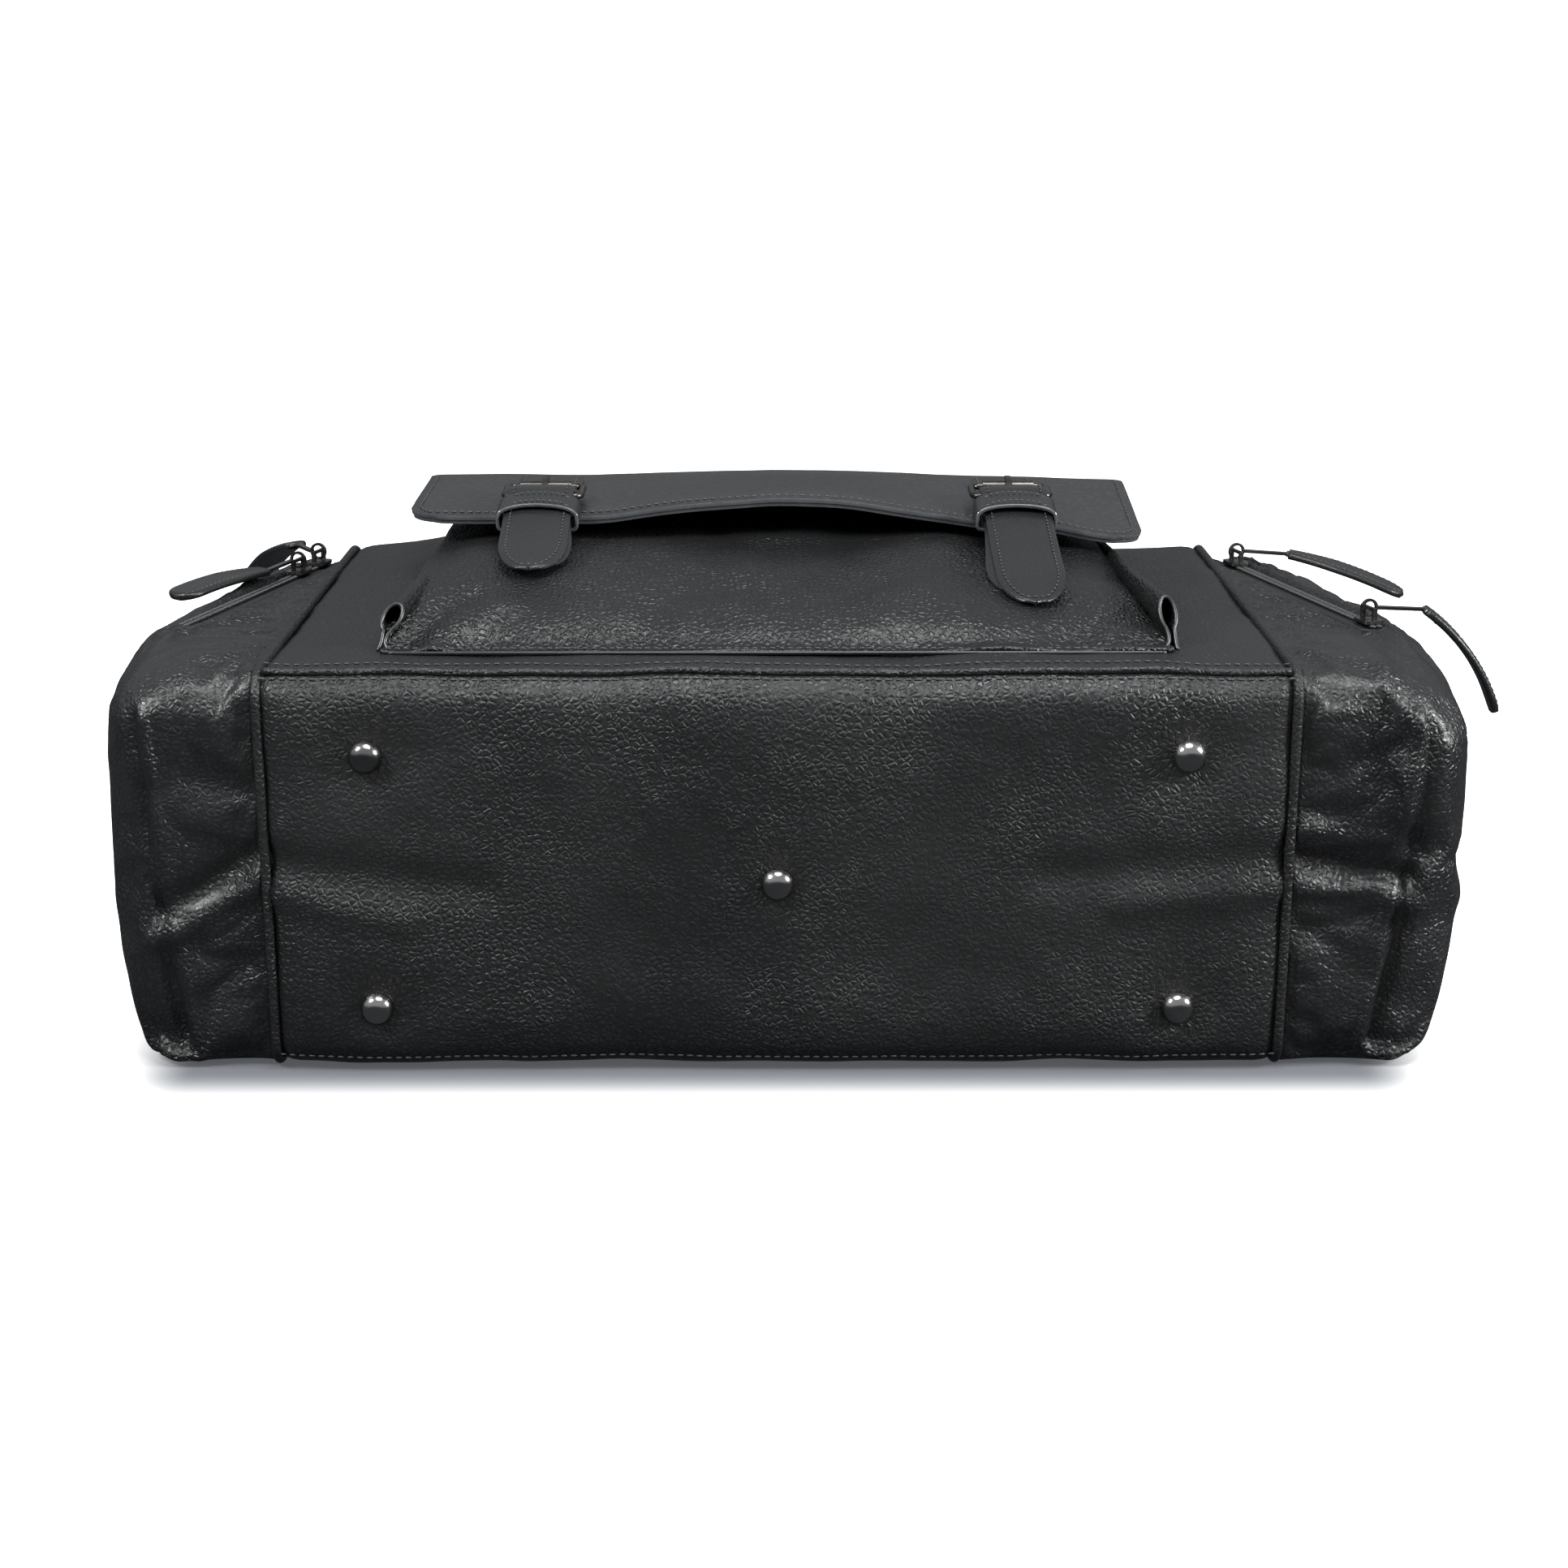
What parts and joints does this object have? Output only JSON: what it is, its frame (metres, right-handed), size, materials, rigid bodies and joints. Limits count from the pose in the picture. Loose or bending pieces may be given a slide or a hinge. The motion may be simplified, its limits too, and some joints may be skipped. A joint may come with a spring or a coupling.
{
  "type": "diaper bag",
  "caption": "Duffel-shaped leather diaper bag lying on its back, with domed base feet, a flapped buckle pocket, zipped end pockets and two handles.",
  "frame": {"origin": "centre of the back panel's resting face", "axes": "+X along the bag's length, +Y out of the zipped top with the footed base facing -Y, +Z out of the front panel"},
  "size_m": [0.5992, 0.4396, 0.2127],
  "materials": {
    "body_leather": "pebbled",
    "pocket_leather": "pebbled, shiny",
    "flap_leather": "pebbled, satin",
    "end_pocket_leather": "pebbled, creased",
    "strap_leather": "satin",
    "pull_leather": "satin",
    "handle_leather": "satin",
    "piping": "satin",
    "zip_coil": "woven tape and nylon coil",
    "board": "matte",
    "polished_gunmetal": "polished",
    "dark_nickel": "polished",
    "buckle_metal": "dark polished",
    "ring_metal": "dark polished",
    "steel": "satin"
  },
  "bodies": {
    "root": {"base_panel": "body_leather", "front_panel": "body_leather", "back_panel": "body_leather", "zip_end_panels": "body_leather", "right_end_panel": "body_leather", "left_end_panel": "body_leather", "end_piping": "piping", "base_piping": "piping", "base_board": "board", "base_feet": "polished_gunmetal", "foot_washers": "steel", "main_zip_ends": "zip_coil", "right_pocket_gusset": "end_pocket_leather", "right_pocket_face": "end_pocket_leather", "left_pocket_gusset": "end_pocket_leather", "left_pocket_face": "end_pocket_leather", "right_end_zip": "zip_coil", "left_end_zip": "zip_coil", "front_pocket": "pocket_leather", "flap_band": "pocket_leather", "snap_sockets": "steel", "front_handle_tabs": "handle_leather", "back_handle_tabs": "handle_leather", "strap_ring_tabs": "handle_leather"},
    "top_front": {"top_front_panel": "body_leather", "main_zip_front_half": "zip_coil"},
    "top_back": {"top_back_panel": "body_leather", "main_zip_back_half": "zip_coil"},
    "main_slider": {"main_slider": "dark_nickel"},
    "main_pull": {"main_pull_link": "dark_nickel", "main_pull_tab": "pull_leather"},
    "flap": {"pocket_flap": "flap_leather", "strap_billets": "strap_leather", "strap_chapes": "strap_leather", "strap_keepers": "strap_leather", "snap_studs": "steel"},
    "front_handle": {"front_handle": "handle_leather", "front_handle_rings": "ring_metal"},
    "back_handle": {"back_handle": "handle_leather", "back_handle_rings": "ring_metal"},
    "left_strap_ring": {"left_strap_ring": "ring_metal"},
    "right_strap_ring": {"right_strap_ring": "ring_metal"},
    "left_buckle": {"left_buckle_frame": "buckle_metal"},
    "left_roller": {"left_roller": "buckle_metal"},
    "left_prong": {"left_prong": "buckle_metal"},
    "left_near_slider": {"left_near_slider": "dark_nickel"},
    "left_near_pull": {"left_near_pull_link": "dark_nickel", "left_near_pull_tab": "pull_leather"},
    "left_far_slider": {"left_far_slider": "dark_nickel"},
    "left_far_pull": {"left_far_pull_link": "dark_nickel", "left_far_pull_tab": "pull_leather"},
    "right_buckle": {"right_buckle_frame": "buckle_metal"},
    "right_roller": {"right_roller": "buckle_metal"},
    "right_prong": {"right_prong": "buckle_metal"},
    "right_near_slider": {"right_near_slider": "dark_nickel"},
    "right_near_pull": {"right_near_pull_link": "dark_nickel", "right_near_pull_tab": "pull_leather"},
    "right_far_slider": {"right_far_slider": "dark_nickel"},
    "right_far_pull": {"right_far_pull_link": "dark_nickel", "right_far_pull_tab": "pull_leather"}
  },
  "joints": [
    {"name": "top_front_fold", "type": "hinge", "parent": "root", "child": "top_front", "pos_m": [0, 0.142, 0.133], "axis": [-1, 0, 0], "range_deg": [0, 90]},
    {"name": "top_back_fold", "type": "hinge", "parent": "root", "child": "top_back", "pos_m": [0, 0.142, 0.025], "axis": [1, 0, 0], "range_deg": [0, 90]},
    {"name": "main_zip_slide", "type": "slide", "parent": "root", "child": "main_slider", "axis": [1, 0, 0], "range_m": [0, 0.372]},
    {"name": "main_pull_lift", "type": "hinge", "parent": "main_slider", "child": "main_pull", "pos_m": [-0.184, 0.15, 0.079], "axis": [1, 0, 0], "range_deg": [0, 140]},
    {"name": "right_near_slide", "type": "slide", "parent": "root", "child": "right_near_slider", "axis": [0.2681, -0.9626, 0.0398], "range_m": [-0.1, 0]},
    {"name": "right_near_pull_lift", "type": "hinge", "parent": "right_near_slider", "child": "right_near_pull", "pos_m": [0.25586, -0.03709, 0.16904], "axis": [-0.0349, -0.9994, 0], "range_deg": [0, 140]},
    {"name": "right_far_slide", "type": "slide", "parent": "root", "child": "right_far_slider", "axis": [0.2681, -0.9626, 0.0398], "range_m": [0, 0.09]},
    {"name": "right_far_pull_lift", "type": "hinge", "parent": "right_far_slider", "child": "right_far_pull", "pos_m": [0.21967, 0.09285, 0.16366], "axis": [-0.225, -0.9744, 0], "range_deg": [0, 130]},
    {"name": "left_near_slide", "type": "slide", "parent": "root", "child": "left_near_slider", "axis": [-0.2681, -0.9626, 0.0398], "range_m": [-0.008, 0.104]},
    {"name": "left_near_pull_lift", "type": "hinge", "parent": "left_near_slider", "child": "left_near_pull", "pos_m": [-0.2253, 0.07264, 0.1645], "axis": [-0.848, 0.5299, 0], "range_deg": [0, 45]},
    {"name": "left_far_slide", "type": "slide", "parent": "root", "child": "left_far_slider", "axis": [-0.2681, -0.9626, 0.0398], "range_m": [0, 0.008]},
    {"name": "left_far_pull_lift", "type": "hinge", "parent": "left_far_slider", "child": "left_far_pull", "pos_m": [-0.21926, 0.0943, 0.1636], "axis": [0.8192, 0.5736, 0], "range_deg": [0, 90]},
    {"name": "flap_open", "type": "hinge", "parent": "root", "child": "flap", "pos_m": [0, 0.095, 0.1963], "axis": [-1, 0, 0], "range_deg": [0, 115]},
    {"name": "left_buckle_tilt", "type": "hinge", "parent": "flap", "child": "left_buckle", "pos_m": [-0.105, 0.02, 0.206], "axis": [1, 0, 0], "range_deg": [0, 45]},
    {"name": "left_prong_tilt", "type": "hinge", "parent": "left_buckle", "child": "left_prong", "pos_m": [-0.105, 0.02, 0.206], "axis": [1, 0, 0], "range_deg": [0, 45]},
    {"name": "left_roller_spin", "type": "hinge", "parent": "left_buckle", "child": "left_roller", "pos_m": [-0.105, 0.041, 0.206], "axis": [1, 0, 0], "continuous": true},
    {"name": "right_buckle_tilt", "type": "hinge", "parent": "flap", "child": "right_buckle", "pos_m": [0.105, 0.02, 0.206], "axis": [1, 0, 0], "range_deg": [0, 45]},
    {"name": "right_prong_tilt", "type": "hinge", "parent": "right_buckle", "child": "right_prong", "pos_m": [0.105, 0.02, 0.206], "axis": [1, 0, 0], "range_deg": [0, 45]},
    {"name": "right_roller_spin", "type": "hinge", "parent": "right_buckle", "child": "right_roller", "pos_m": [0.105, 0.041, 0.206], "axis": [1, 0, 0], "continuous": true},
    {"name": "front_handle_swing", "type": "hinge", "parent": "root", "child": "front_handle", "pos_m": [0, 0.149, 0.146], "axis": [1, 0, 0], "range_deg": [0, 150]},
    {"name": "back_handle_swing", "type": "hinge", "parent": "root", "child": "back_handle", "pos_m": [0, 0.149, 0.012], "axis": [1, 0, 0], "range_deg": [0, 50]},
    {"name": "right_strap_ring_swing", "type": "hinge", "parent": "root", "child": "right_strap_ring", "pos_m": [0.2126, 0.141, 0.079], "axis": [0, 0, -1], "range_deg": [0, 90]},
    {"name": "left_strap_ring_swing", "type": "hinge", "parent": "root", "child": "left_strap_ring", "pos_m": [-0.2126, 0.141, 0.079], "axis": [0, 0, 1], "range_deg": [0, 90]}
  ]
}
